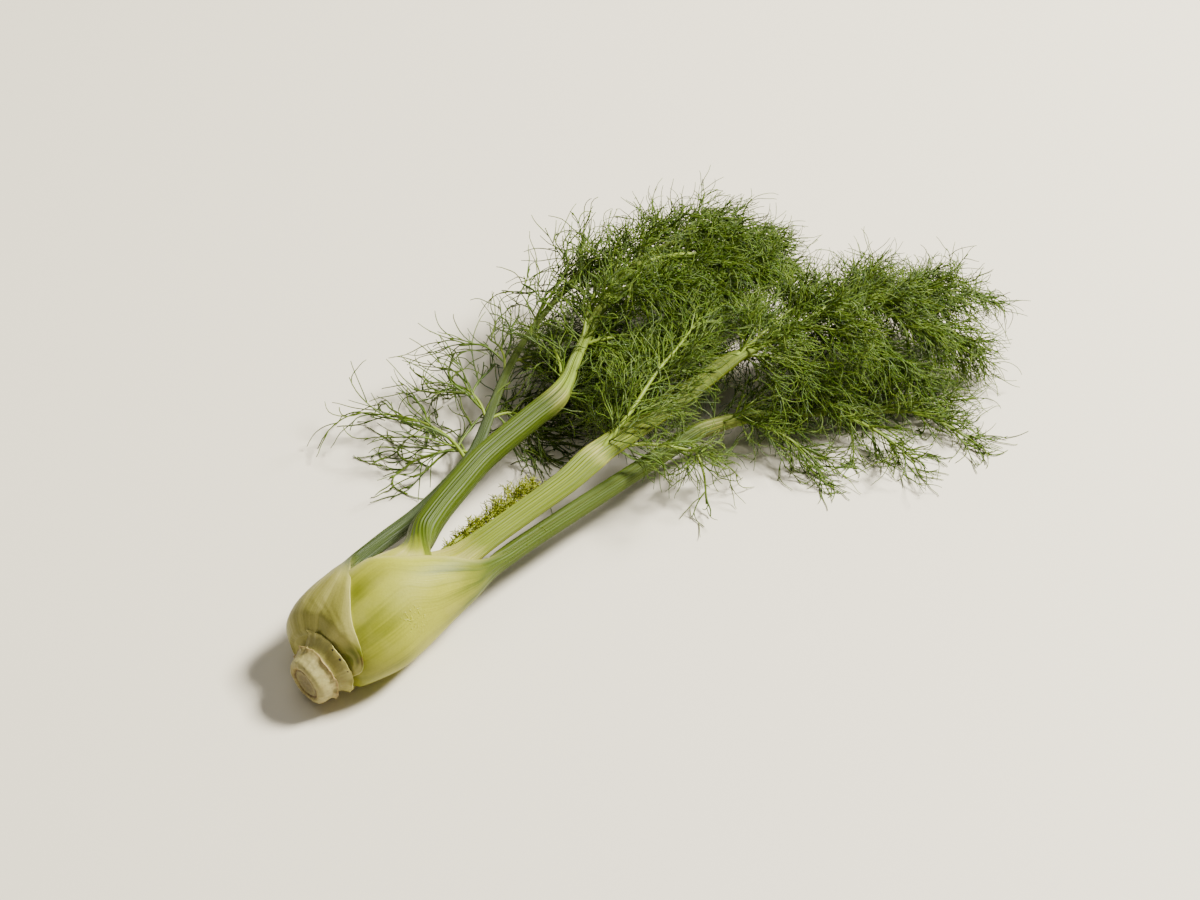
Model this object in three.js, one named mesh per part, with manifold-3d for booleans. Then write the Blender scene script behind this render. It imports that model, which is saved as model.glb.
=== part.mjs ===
// A whole fennel plant top as picked: the trimmed root stub, four leaves whose swollen sheaths wrap
// round each other to make the bulb, a young shoot between them, and the leaflets on each leaf's rib.
// Millimetres. +X runs along the bulb from the root to the leaves, +Y to the left, +Z up from the
// surface it lies on. The origin is on the belly's flat resting patch.
import * as THREE from "three";
import Module from "manifold-3d";
import { ParametricGeometry } from "three/addons/geometries/ParametricGeometry.js";
import { mergeVertices } from "three/addons/utils/BufferGeometryUtils.js";

const wasm = await Module();
wasm.setup();

const GAP = 0.4; // clearance between touching pieces
const BULB_START = -34.4; // where the sheaths leave the root stub
const DEGREE = Math.PI / 180;

// The bulb's outline along X: [x, centre y, centre z, half width, half height].
const BULB = [
  [BULB_START, 3.6, 20, 19.4, 17],
  [-31, 4, 21.6, 24.5, 20],
  [-23, 4, 24, 28.5, 23],
  [-10, 2.6, 26, 29.8, 26.2],
  [2, 2, 26.9, 28.8, 27.6],
  [14, 1.2, 27.8, 27.2, 26.6],
  [32, -0.6, 30, 24, 22.6],
  [50, -3, 31.6, 20, 18.4],
  [66, -3.6, 34, 15, 13],
];

// The root stub, as a profile of rings: [x, centre y, centre z, half width, half height]. Two cut-off
// leaf bases stand out as cups that open towards the bulb.
const ROOT = [
  [-50.4, 0.4, 16, 7.6, 7.2],
  [-51.4, 0.4, 16, 8.6, 8.2],
  [-51.6, 0.4, 16, 10.2, 9.8],
  [-50.6, 0.5, 16, 12.2, 11.6],
  [-48, 0.6, 16.2, 13, 12.4],
  [-44, 0.9, 17, 14.8, 14],
  [-43, 1, 17, 14.9, 14.1],
  [-42.6, 1, 17, 13.4, 12.8],
  [-40, 1.2, 17.6, 14.2, 13.4],
  [-36.6, 1.5, 18.6, 18, 16.2],
  [-35.6, 1.6, 18.8, 18.2, 16.4],
  [-35.2, 1.6, 18.8, 16.4, 15],
  [BULB_START - 0.4, 1.8, 19, 15.8, 14.4],
];

// Each leaf is one piece: a sheath on the bulb that closes into a stalk and runs on as the blade's rib.
//   middle    angle of the sheath's middle line round the bulb, 0 at +Y and 90 at +Z, in degrees
//   sheath    [x, angle that it wraps anticlockwise, angle that it wraps clockwise] from its middle line
//   depth     how far its outer face lies under the bulb's outline
//   thick     wall thickness at the middle line, and edge at its margins
//   tuck      how far the margins are pressed down onto the next leaf
//   closes    the stretch of x over which the sheath closes into the stalk
//   stalk     [x, y, z, width, height] of the stalk and the rib
//   lean      how far its base reaches back over the root on its own side
//   channel   how far the stalk's inner face is hollowed, as a share of its half height
const LEAVES = {
  outer_leaf: {
    middle: -13,
    depth: -1.6,
    thick: 3.2,
    edge: 2.4,
    tuck: 0.3,
    lean: 8,
    channel: 0,
    closes: [-16, 16],
    sheath: [
      [BULB_START, 185, 140],
      [-29, 145, 110],
      [-22, 110, 85],
      [-8, 78, 62],
      [8, 62, 48],
    ],
    stalk: [
      [-16, 33, 25, 14, 10],
      [4, 36.5, 24, 10, 9],
      [27, 40, 22, 8.6, 9],
      [57, 45, 17, 8.4, 8.4],
      [92, 53.6, 13.4, 8.2, 7.6],
      [113, 60.4, 13, 8, 7],
      [125, 66.6, 14.6, 6.4, 6],
      [156, 82, 26, 4.6, 4.4],
      [178, 88, 37, 3.6, 3.4],
      [210, 92, 48, 2.8, 2.8],
      [236, 90, 55, 1.8, 1.8],
    ],
  },
  front_leaf: {
    middle: 205,
    depth: 0,
    thick: 4.4,
    edge: 1,
    tuck: 1.7,
    lean: 0,
    channel: 0.35,
    closes: [34, 68],
    sheath: [
      [BULB_START, 150, 150],
      [7, 125, 155],
      [17, 105, 127],
      [29, 92, 108],
      [37, 82, 90],
      [48, 72, 68],
      [60, 62, 56],
    ],
    stalk: [
      [34, -12, 29, 24, 20],
      [54, -14.4, 28, 16, 13],
      [80, -14, 26.4, 12.6, 11.6],
      [112, -14.6, 25, 12.4, 11.4],
      [160, -16.2, 23.4, 12, 11],
      [192, -17, 22, 12, 11],
      [210, -18.6, 21, 11.4, 10.2],
      [243, -32, 18, 7.6, 7],
      [285, -62, 12, 4, 4],
      [322, -92, 8, 2, 2],
    ],
  },
  left_leaf: {
    middle: 22,
    depth: 3.1,
    thick: 4.8,
    edge: 3.6,
    tuck: 0.4,
    lean: 0,
    channel: -0.7,
    closes: [14, 48],
    sheath: [
      [BULB_START, 150, 140],
      [10, 140, 130],
      [30, 118, 100],
      [44, 96, 80],
    ],
    stalk: [
      [14, 10, 29, 32, 24],
      [32, 17, 31, 24, 18],
      [54, 25, 35, 17.4, 14.6],
      [78, 31.6, 36.4, 15.6, 13.8],
      [100, 36.8, 37, 15, 13.4],
      [137, 40, 38, 14.4, 13],
      [157, 41.4, 38.6, 14, 12.6],
      [170, 46, 40, 9, 8.4],
      [182, 52, 43, 7, 6.6],
      [214, 64.5, 52, 6.4, 6],
      [252, 71, 60, 4.4, 4.2],
      [293, 66, 61, 2.6, 2.6],
      [326, 60, 56, 1.6, 1.6],
    ],
  },
  middle_leaf: {
    middle: -82,
    depth: 7.6,
    lean: 0,
    channel: 0.62,
    closes: [18, 46],
    stalk: [
      [18, -5, 33, 26, 22],
      [46, -9, 40.6, 14.4, 12],
      [84, -10.4, 43, 12.6, 11.4],
      [115, -11, 44.4, 13.4, 12],
      [138, -9.4, 45.8, 16, 12.6],
      [150, -9.4, 46, 13.6, 11.2],
      [178, -10.4, 46.4, 12, 10.4],
      [213, -11.6, 48, 10.6, 9.6],
      [234, -12.6, 50, 9.4, 8.6],
      [244, -14, 50.6, 6.6, 6.2],
      [282, -22, 52, 4.8, 4.6],
      [336, -36, 49, 3, 3],
      [378, -56, 40, 1.6, 1.6],
    ],
  },
};

// The leaflets of each leaf: [x on the rib where it leaves, tip x, y, z, how high it arches].
const LEAFLETS = {
  outer_leaf: [
    [106, 96, 128, 14, 10],
    [112, 84, 92, 0.6, 6],
    [132, 138, 112, 18, 8],
    [134, 160, 58, 6, 4],
    [158, 168, 118, 30, 6],
    [166, 204, 70, 20, -6],
    [186, 212, 122, 46, 8],
    [210, 246, 108, 62, 8],
  ],
  left_leaf: [
    [163, 190, 104, 32, 6],
    [160, 202, 22, 16, -6],
    [186, 238, 108, 58, 12],
    [190, 246, 24, 34, 2],
    [216, 262, 100, 72, 10],
    [220, 290, 30, 38, 2],
    [244, 292, 104, 74, 8],
    [250, 334, 30, 40, 4],
    [276, 318, 84, 68, 6],
    [284, 344, 50, 50, 4],
  ],
  middle_leaf: [
    [147, 268, 6, 58, 12],
    [150, 212, -42, 16, 2],
    [238, 308, 2, 58, 6],
    [241, 292, -58, 18, 2],
    [276, 352, -8, 52, 6],
    [282, 326, -82, 16, 4],
    [314, 388, -26, 46, 4],
    [320, 366, -84, 16, 4],
    [346, 394, -64, 32, 4],
  ],
  front_leaf: [
    [196, 178, -52, 0.6, 8],
    [212, 262, -34, 16, 4],
    [226, 246, -82, 0.6, 8],
    [252, 304, -60, 14, 6],
    [272, 286, -112, 0.6, 6],
    [292, 340, -92, 9, 4],
    [306, 322, -122, 0.6, 4],
  ],
};

const SHOOT = [
  [46, 4, 36, 2],
  [58, 3.4, 37, 3.6],
  [74, 2.4, 38.5, 5.2],
  [90, 2.4, 39.5, 5.6],
  [100, 1.6, 40, 3],
];

const LEAF_SIDES = 26;
const SHORTEST = 0.003; // edges shorter than this are merged after a cut
const FLATNESS = 0.06; // how far a face may stray from the true surface
const LEAFLET_BASE = 1.5; // radius of a leaflet's own rib where it starts
const LEAFLET_TIP = 0.5;
const SIDE_RIBS = [0.3, 0.5, 0.7]; // where the side ribs leave a leaflet's rib
const SIDE_RIB_SHARE = 0.3; // their length as a share of the leaflet's
const SIDE_RIB_ANGLE = 42 * DEGREE;
const SIDE_RIB_RADIUS = 0.8;
const SIDE_RIB_TIP = 0.5;
const SURFACE = 0.6; // the lowest that a thin rib's middle line lies

const mix = THREE.MathUtils.lerp;
const smooth = (x, from, to) => THREE.MathUtils.smoothstep(x, from, to);

// The other columns of a table at x, by a smooth curve through its rows.
function along(table, x) {
  const last = table.length - 1;
  const at = THREE.MathUtils.clamp(x, table[0][0], table[last][0]);
  let i = 0;
  while (i < last - 1 && at > table[i + 1][0]) i += 1;
  const slope = (k, column) => {
    const [a, b] = [table[Math.max(k - 1, 0)], table[Math.min(k + 1, last)]];
    return (b[column] - a[column]) / (b[0] - a[0]);
  };
  const [from, to] = [table[i], table[i + 1]];
  const step = to[0] - from[0];
  const t = (at - from[0]) / step;
  const weights = [
    2 * t ** 3 - 3 * t ** 2 + 1,
    (t ** 3 - 2 * t ** 2 + t) * step,
    3 * t ** 2 - 2 * t ** 3,
    (t ** 3 - t ** 2) * step,
  ];
  return from
    .slice(1)
    .map(
      (value, k) =>
        weights[0] * value +
        weights[1] * slope(i, k + 1) +
        weights[2] * to[k + 1] +
        weights[3] * slope(i + 1, k + 1),
    );
}

// A point on the bulb at x and an angle, sunk by inset.
function bulbPoint(x, angle, inset) {
  const [y, z, halfWidth, halfHeight] = along(BULB, x);
  return new THREE.Vector3(
    x,
    y + (halfWidth - inset) * Math.cos(angle),
    z + (halfHeight - inset) * Math.sin(angle),
  );
}

// A point of a wrapped sheath's section. side runs -1 to 1 from its clockwise to its other margin.
function sheathPoint(leaf, x, a, side) {
  const [anticlockwise, clockwise] = along(leaf.sheath, x);
  const margin = Math.abs(side);
  const wrap = side > 0 ? anticlockwise : clockwise;
  const outer = leaf.depth + leaf.tuck * margin ** 8;
  const wall = mix(leaf.thick, leaf.edge, margin ** 4);
  const inset = a <= 1 ? outer : outer + wall;
  const point = bulbPoint(x, (leaf.middle + side * wrap) * DEGREE, inset);
  const back = 1 - smooth(x, BULB_START, BULB_START + 3 * leaf.lean);
  point.x -= leaf.lean * back * Math.max(Math.cos(side * wrap * DEGREE), 0);
  return point;
}

// A point of the innermost leaf's sheath, which is solid.
function corePoint(leaf, x, a) {
  return bulbPoint(x, (leaf.middle + (a - 0.5) * 180) * DEGREE, leaf.depth);
}

// A point of a leaf's section at x. a runs 0 to 1 over the outer face and 1 to 2 back over the inner
// one.
function leafPoint(leaf, x, a) {
  const side = a <= 1 ? 2 * a - 1 : 3 - 2 * a;
  const margin = Math.abs(side);
  const closed = smooth(x, leaf.closes[0], leaf.closes[1]);
  const onBulb = leaf.sheath ? sheathPoint(leaf, x, a, side) : corePoint(leaf, x, a);
  const [y, z, width, height] = along(leaf.stalk, x);
  const [y2, z2] = along(leaf.stalk, x + 0.5);
  const reach = x < leaf.stalk[0][0] ? 0 : 2;
  const tangent = new THREE.Vector3(1, reach * (y2 - y), reach * (z2 - z)).normalize();
  const middle = leaf.middle * DEGREE;
  const outwards = new THREE.Vector3(0, Math.cos(middle), Math.sin(middle));
  outwards.addScaledVector(tangent, -outwards.dot(tangent)).normalize();
  const across = new THREE.Vector3().crossVectors(tangent, outwards);
  const turn = side * 90 * DEGREE;
  const hollow = 1 - leaf.channel * (1 - margin ** 2);
  const lift = a <= 1 ? Math.cos(turn) : -Math.cos(turn) * Math.min(hollow, 1);
  const onStalk = new THREE.Vector3(x, y, z)
    .addScaledVector(across, (width / 2) * Math.sin(turn))
    .addScaledVector(outwards, (height / 2) * lift);
  return onBulb.lerp(onStalk, closed);
}

// A closed surface of rings: at(k, u) is the point at u round ring k, and both ends close on a point.
function ringed(rings, sides, at) {
  const centre = (k) => {
    const sum = new THREE.Vector3();
    for (let i = 0; i < sides; i += 1) sum.add(at(k, i / sides));
    return sum.divideScalar(sides);
  };
  return new ParametricGeometry(
    (u, v, target) => {
      const row = Math.round(v * (rings + 1));
      const isEnd = row === 0 || row === rings + 1;
      const k = THREE.MathUtils.clamp(row - 1, 0, rings - 1);
      target.copy(isEnd ? centre(k) : at(k, (Math.round(u * sides) % sides) / sides));
    },
    sides,
    rings + 1,
  );
}

// A closed geometry as a manifold-3d solid, with its faces pointing out.
function solid(geometry) {
  const bare = geometry.clone();
  bare.deleteAttribute("normal");
  bare.deleteAttribute("uv");
  const merged = mergeVertices(bare, 1e-4);
  const index = merged.index.array;
  const kept = [];
  for (let i = 0; i < index.length; i += 3) {
    const [a, b, c] = index.subarray(i, i + 3);
    if (a !== b && b !== c && a !== c) kept.push(a, b, c);
  }
  const build = (triangles) =>
    new wasm.Manifold(
      new wasm.Mesh({
        numProp: 3,
        vertProperties: merged.attributes.position.array,
        triVerts: new Uint32Array(triangles),
      }),
    );
  const made = build(kept);
  return made.volume() > 0 ? made : build(kept.reverse());
}

const largest = (made) =>
  made.decompose().sort((a, b) => b.volume() - a.volume())[0];

// What a piece fills with a clearance all round it.
const roomy = new Map();
function withGap(made) {
  const moved = [made];
  for (const step of [-GAP, GAP])
    moved.push(
      made.translate(step, 0, 0),
      made.translate(0, step, 0),
      made.translate(0, 0, step),
    );
  if (!roomy.has(made)) roomy.set(made, wasm.Manifold.union(moved));
  return roomy.get(made);
}

function boxOf(made) {
  const { min, max } = made.boundingBox();
  return new THREE.Box3(new THREE.Vector3(...min), new THREE.Vector3(...max));
}

const overlaps = (a, b) => boxOf(a).intersectsBox(boxOf(b)) && a.intersect(b).volume() > 0;

// A piece cut back until it has its clearance to every other one.
function clearOf(made, others) {
  const near = others.filter((other) => overlaps(made, withGap(other)));
  const cut = near.reduce((left, other) => left.subtract(withGap(other)), made);
  return largest(cut.asOriginal().simplify(SHORTEST));
}

// x at each ring of a leaf: close together on the bulb, further apart along the stalk.
function leafStations(leaf) {
  const end = leaf.stalk[leaf.stalk.length - 1][0];
  const stations = [BULB_START, -32.4, -30, -26, -21];
  for (let x = -13; x < 70; x += 9) stations.push(x);
  for (let x = 86; x < end - 9; x += 18) stations.push(x);
  return [...stations, end];
}

function leafSolid(leaf) {
  const stations = leafStations(leaf);
  const at = (k, u) => leafPoint(leaf, stations[k], 2 * u);
  return solid(ringed(stations.length, LEAF_SIDES, at));
}

function rootSolid() {
  const at = (k, u) => {
    const [x, y, z, halfWidth, halfHeight] = ROOT[k];
    const angle = u * 2 * Math.PI;
    return new THREE.Vector3(x, y + halfWidth * Math.cos(angle), z + halfHeight * Math.sin(angle));
  };
  return solid(ringed(ROOT.length, LEAF_SIDES, at));
}

function shootSolid() {
  const at = (k, u) => {
    const [x, y, z, radius] = SHOOT[k];
    const angle = u * 2 * Math.PI;
    return new THREE.Vector3(x, y + radius * Math.cos(angle), z + radius * Math.sin(angle));
  };
  return solid(ringed(SHOOT.length, 10, at));
}

// A round rib along a curve that thins evenly from one radius to another.
function rib(curve, from, to, sides, steps) {
  const frames = curve.computeFrenetFrames(steps, false);
  const at = (k, u) => {
    const radius = mix(from, to, k / steps);
    const angle = u * 2 * Math.PI;
    return curve
      .getPoint(k / steps)
      .addScaledVector(frames.normals[k], radius * Math.cos(angle))
      .addScaledVector(frames.binormals[k], radius * Math.sin(angle));
  };
  return solid(ringed(steps + 1, sides, at));
}

// The middle line of a leaflet: it leaves its leaf's rib forwards and bends over to its tip.
function leafletCurve(leaf, [x, tipX, tipY, tipZ, arch]) {
  const [y, z] = along(leaf.stalk, x);
  const [y2, z2] = along(leaf.stalk, x + 2);
  const start = new THREE.Vector3(x, y, z);
  const tip = new THREE.Vector3(tipX, tipY, tipZ);
  const length = start.distanceTo(tip);
  const forwards = new THREE.Vector3(2, y2 - y, z2 - z).normalize();
  const bend = start.clone().lerp(tip, 0.3).addScaledVector(forwards, 0.22 * length);
  bend.z = Math.max(bend.z + arch, SURFACE);
  return new THREE.QuadraticBezierCurve3(start, bend, tip);
}

// The side ribs of a leaflet, in pairs that lie nearly flat.
function sideRibs(curve) {
  const length = curve.getLength();
  const made = [];
  SIDE_RIBS.forEach((t, k) => {
    const start = curve.getPoint(t);
    const forwards = curve.getTangent(t);
    const sideways = new THREE.Vector3(-forwards.y, forwards.x, 0).normalize();
    const reach = SIDE_RIB_SHARE * length * (1.15 - t);
    const turn = k % 2 ? 1 : -1;
    const end = start
      .clone()
      .addScaledVector(forwards, reach * Math.cos(SIDE_RIB_ANGLE))
      .addScaledVector(sideways, turn * reach * Math.sin(SIDE_RIB_ANGLE));
    end.z = Math.max(end.z - 0.1 * reach, SURFACE);
    made.push(new THREE.LineCurve3(start, end));
  });
  return made;
}

// A leaflet: its rib, and the side ribs that don't cross another piece.
function leafletSolid(leaf, row, placed) {
  const curve = leafletCurve(leaf, row);
  let made = clearOf(rib(curve, LEAFLET_BASE, LEAFLET_TIP, 4, 3), placed);
  for (const side of sideRibs(curve)) {
    const room = rib(side, SIDE_RIB_RADIUS + GAP, SIDE_RIB_TIP + GAP, 3, 1);
    if (placed.some((other) => overlaps(room, other))) continue;
    made = made.add(rib(side, SIDE_RIB_RADIUS, SIDE_RIB_TIP, 3, 1));
  }
  return made;
}

const MATERIALS = {
  root: new THREE.MeshStandardMaterial({ color: 0xcdbf93, roughness: 0.7, metalness: 0 }),
  sheath: new THREE.MeshStandardMaterial({ color: 0xc3c682, roughness: 0.38, metalness: 0 }),
  stalk: new THREE.MeshStandardMaterial({ color: 0x9db15c, roughness: 0.4, metalness: 0 }),
  leaflet: new THREE.MeshStandardMaterial({ color: 0x4d7030, roughness: 0.6, metalness: 0 }),
  shoot: new THREE.MeshStandardMaterial({ color: 0x98a52a, roughness: 0.6, metalness: 0 }),
};

const fennel = new THREE.Group();

function place(name, made, material) {
  const { numProp, numVert, vertProperties, triVerts } = made.getMesh();
  const positions = new Float32Array(numVert * 3);
  for (let i = 0; i < numVert; i += 1)
    positions.set(vertProperties.subarray(i * numProp, i * numProp + 3), i * 3);
  const geometry = new THREE.BufferGeometry()
    .setAttribute("position", new THREE.BufferAttribute(positions, 3))
    .setIndex(new THREE.BufferAttribute(triVerts, 1));
  geometry.computeVertexNormals();
  const mesh = new THREE.Mesh(geometry, material);
  mesh.name = name;
  fennel.add(mesh);
}

// Nothing reaches under the surface that the plant lies on.
const finish = (made) =>
  largest(made.trimByPlane([0, 0, 1], 0).asOriginal().simplify(FLATNESS));

const root = finish(rootSolid());
place("root_base", root, MATERIALS.root);

// From the inside out, each leaf is cut clear of the leaves inside it.
const placed = [root];
for (const name of ["middle_leaf", "left_leaf", "front_leaf", "outer_leaf"]) {
  const made = clearOf(finish(clearOf(leafSolid(LEAVES[name]), placed)), placed);
  place(name, made, MATERIALS[name === "middle_leaf" ? "stalk" : "sheath"]);
  placed.push(made);
}

const shoot = clearOf(finish(shootSolid()), placed);
place("young_shoot", shoot, MATERIALS.shoot);
placed.push(shoot);

for (const [name, rows] of Object.entries(LEAFLETS)) {
  rows.forEach((row, k) => {
    const made = clearOf(finish(leafletSolid(LEAVES[name], row, placed)), placed);
    place(name.replace("leaf", "leaflet_") + (k + 1), made, MATERIALS.leaflet);
    placed.push(made);
  });
}

export default fennel;
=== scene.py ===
"""A whole fennel plant top lying on a pale table: the trimmed root, four leaves whose sheaths wrap
round each other into the bulb, the young shoot between their stalks, and their feathery leaflets.
Lengths in the tables are millimetres; +X runs from the root to the leaves and +Z is up."""

import math
from types import SimpleNamespace

import bpy
import numpy as np
from bpy.props import FloatProperty, FloatVectorProperty, IntProperty, PointerProperty
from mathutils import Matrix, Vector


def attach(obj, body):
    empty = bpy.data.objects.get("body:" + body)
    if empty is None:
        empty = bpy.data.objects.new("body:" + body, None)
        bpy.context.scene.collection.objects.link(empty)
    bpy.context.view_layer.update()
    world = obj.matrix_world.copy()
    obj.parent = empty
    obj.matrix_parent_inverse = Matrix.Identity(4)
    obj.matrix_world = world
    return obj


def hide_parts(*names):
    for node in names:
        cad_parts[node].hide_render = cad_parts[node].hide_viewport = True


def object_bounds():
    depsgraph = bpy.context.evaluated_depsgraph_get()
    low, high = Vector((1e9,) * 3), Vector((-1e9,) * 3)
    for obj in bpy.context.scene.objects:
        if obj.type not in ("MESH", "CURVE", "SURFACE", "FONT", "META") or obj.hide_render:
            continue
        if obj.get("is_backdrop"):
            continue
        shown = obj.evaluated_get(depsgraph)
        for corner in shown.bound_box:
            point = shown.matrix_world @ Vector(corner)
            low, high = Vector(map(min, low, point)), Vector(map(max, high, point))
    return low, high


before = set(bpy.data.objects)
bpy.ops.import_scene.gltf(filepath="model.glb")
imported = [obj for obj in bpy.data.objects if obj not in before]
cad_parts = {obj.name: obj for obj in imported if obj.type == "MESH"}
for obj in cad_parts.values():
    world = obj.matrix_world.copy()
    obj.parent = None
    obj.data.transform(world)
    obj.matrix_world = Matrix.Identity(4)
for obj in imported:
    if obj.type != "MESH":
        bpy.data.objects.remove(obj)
CAD_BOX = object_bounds()

bl_info = {
    "name": "Fennel bulb",
    "version": (1, 0, 0),
    "blender": (4, 5, 0),
    "location": "View3D > Sidebar > Fennel",
    "description": "Grows a fennel bulb with its stalks and feathery leaflets",
    "category": "Add Mesh",
}

MM = 0.001
DEGREE = math.pi / 180
BULB_START = -34.4  # where the sheaths leave the root stub
GRAIN = 100  # how much x one unit of a leaf's grain map spans
RAMP_START, RAMP_SPAN = -50, 450  # the stretch of x that a leaf's colour ramps cover
SINK = np.array([0, 0, 0.12])  # how far the finer threads head down from their parent's direction

# The camera, and the lamps as place, size and power, all aimed at the middle of the plant. Metres, watts.
CAMERA_PLACE = (-0.3767, -0.526, 0.7778)
CAMERA_TARGET = (0.1733, 0.024, 0)
CAMERA_LENS, CAMERA_SENSOR = 60, 36
LAMPS = {"window": ((2.2, -0.95, 2.6), 0.8, 470), "overhead": ((0.1, 0.3, 2.0), 1.5, 9)}
LAMP_TARGET = (0.08, 0, 0.02)
LAMP_COLOUR = (1, 0.98, 0.95)
ROOM_COLOUR, ROOM_STRENGTH = (1, 0.985, 0.96, 1), 0.17

# The bulb's outline along X: x, centre y, centre z, half width, half height.
BULB = [
    (BULB_START, 3.6, 20, 19.4, 17),
    (-31, 4, 21.6, 24.5, 20),
    (-23, 4, 24, 28.5, 23),
    (-10, 2.6, 26, 29.8, 26.2),
    (2, 2, 26.9, 28.8, 27.6),
    (14, 1.2, 27.8, 27.2, 26.6),
    (32, -0.6, 30, 24, 22.6),
    (50, -3, 31.6, 20, 18.4),
    (66, -3.6, 34, 15, 13),
]

# The root stub from the middle of its cut face outwards and on to the bulb: distance along the
# profile, x, centre y, centre z, half width, half height, how ragged it is.
ROOT = [
    (0, -50.9, 0.4, 16, 0.3, 0.3, 0),
    (3, -50.7, 0.4, 16, 3.2, 3.1, 0),
    (5.6, -51, 0.4, 16, 5.8, 5.6, 0),
    (6.8, -51.1, 0.4, 16, 7, 6.8, 0.1),
    (8, -50.5, 0.4, 16, 7.9, 7.7, 0.2),
    (9, -51.4, 0.4, 16, 8.8, 8.5, 0.3),
    (10.6, -51.6, 0.4, 16, 10.3, 9.9, 0.2),
    (12.8, -50.4, 0.5, 16, 12.2, 11.7, 0.1),
    (15.6, -47.8, 0.6, 16.2, 13.2, 12.6, 0.1),
    (18.6, -44.9, 0.9, 16.8, 14, 13.3, 0.4),
    (19.7, -43.8, 1, 17, 14.9, 14.1, 1.1),
    (20.5, -43.1, 1, 17, 15.8, 14.9, 1.7),
    (21.2, -42.5, 1, 17.1, 15, 14.2, 1.1),
    (22.4, -42.2, 1.1, 17.2, 13.3, 12.7, 0.2),
    (25.4, -40, 1.2, 17.6, 14.2, 13.4, 0.1),
    (28.4, -37.8, 1.5, 18.4, 16.2, 14.9, 0.3),
    (30, -36.6, 1.5, 18.7, 17.8, 16.1, 0.8),
    (30.9, -36, 1.6, 18.8, 19.2, 17.2, 1.6),
    (31.6, -35.3, 1.6, 18.8, 18.5, 16.5, 1),
    (33.2, -34.9, 1.8, 19, 15.6, 14.4, 0),
]
ROOT_LENGTH = ROOT[-1][0]
ROOT_PITS = [(112, 0.9), (131, 1.1), (156, 0.7), (183, 0.6)]  # angle round the rim at the bulb, radius

# Each leaf, from its sheath on the bulb to the end of its blade's rib. middle is the angle of the
# sheath's middle line round the bulb, 0 at +Y and 90 at +Z. sheath holds x and the angles that it
# wraps to either side. depth is how far it lies under the bulb's outline, thick and edge its wall at
# the middle line and at the margins, tuck how far the margins press down, lean how far its base
# reaches back. Over closes it closes into the stalk: x, y, z, width and height, with its inner face
# hollowed by channel. Where fanned is given, the grain spreads over the sheath with its angle, and that
# many degrees take it from the middle line to a margin.
LEAVES = {
    "outer_leaf": dict(
        middle=-13,
        depth=-1.6,
        thick=3.2,
        edge=2.4,
        tuck=0.6,
        lean=8,
        channel=0,
        fanned=110,
        closes=(-16, 16),
        sheath=[
            (BULB_START, 196, 140),
            (-31.6, 180, 116),
            (-29, 158, 104),
            (-25.7, 130, 92),
            (-20, 112, 82),
            (-13, 96, 70),
            (-5, 87, 60),
            (4, 79, 50),
            (10, 60, 44),
        ],
        stalk=[
            (-16, 33, 25, 14, 10),
            (4, 36.5, 24, 10, 9),
            (27, 40, 22, 8.6, 9),
            (57, 45, 17, 8.4, 8.4),
            (92, 53.6, 13.4, 8.2, 7.6),
            (113, 60.4, 13, 8, 7),
            (125, 66.6, 14.6, 6.4, 6),
            (156, 82, 26, 4.6, 4.4),
            (178, 88, 37, 3.6, 3.4),
            (210, 92, 48, 2.8, 2.8),
            (236, 90, 55, 1.8, 1.8),
        ],
    ),
    "front_leaf": dict(
        middle=205,
        depth=0,
        thick=4.4,
        edge=1,
        tuck=1.7,
        lean=0,
        channel=0.35,
        closes=(34, 68),
        sheath=[
            (BULB_START, 150, 150),
            (4, 127, 150),
            (8, 120, 143),
            (12, 114, 131),
            (17.4, 107, 119),
            (26, 96, 106),
            (35, 83, 90),
            (46, 73, 71),
            (60, 62, 60),
        ],
        stalk=[
            (34, -12, 29, 24, 20),
            (54, -14.4, 28, 16, 13),
            (80, -14, 26.4, 12.6, 11.6),
            (112, -14.6, 25, 12.4, 11.4),
            (160, -16.2, 23.4, 12, 11),
            (192, -17, 22, 12, 11),
            (210, -18.6, 21, 11.4, 10.2),
            (243, -32, 18, 7.6, 7),
            (285, -62, 12, 4, 4),
            (322, -92, 8, 2, 2),
        ],
    ),
    "left_leaf": dict(
        middle=22,
        depth=3.1,
        thick=4.8,
        edge=3.6,
        tuck=0.4,
        lean=0,
        channel=-0.7,
        closes=(14, 48),
        sheath=[(BULB_START, 150, 140), (10, 140, 130), (30, 118, 100), (44, 96, 80)],
        stalk=[
            (14, 10, 29, 32, 24),
            (32, 17, 31, 24, 18),
            (54, 25, 35, 17.4, 14.6),
            (78, 31.6, 36.4, 15.6, 13.8),
            (100, 36.8, 37, 15, 13.4),
            (137, 40, 38, 14.4, 13),
            (157, 41.4, 38.6, 14, 12.6),
            (170, 46, 40, 9, 8.4),
            (182, 52, 43, 7, 6.6),
            (214, 64.5, 52, 6.4, 6),
            (252, 71, 60, 4.4, 4.2),
            (293, 66, 61, 2.6, 2.6),
            (326, 60, 56, 1.6, 1.6),
        ],
    ),
    "middle_leaf": dict(
        middle=-82,
        depth=7.6,
        lean=0,
        channel=0.62,
        closes=(18, 46),
        stalk=[
            (18, -5, 33, 26, 22),
            (46, -9, 40.6, 14.4, 12),
            (84, -10.4, 43, 12.6, 11.4),
            (115, -11, 44.4, 13.4, 12),
            (133, -9.6, 45.6, 14.6, 12.2),
            (144, -9.4, 46, 13.4, 11.2),
            (178, -10.4, 46.4, 12, 10.4),
            (213, -11.6, 48, 10.6, 9.6),
            (234, -12.6, 50, 9.4, 8.6),
            (244, -14, 50.6, 6.6, 6.2),
            (282, -22, 52, 4.8, 4.6),
            (336, -36, 49, 3, 3),
            (378, -56, 40, 1.6, 1.6),
        ],
    ),
}

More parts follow.
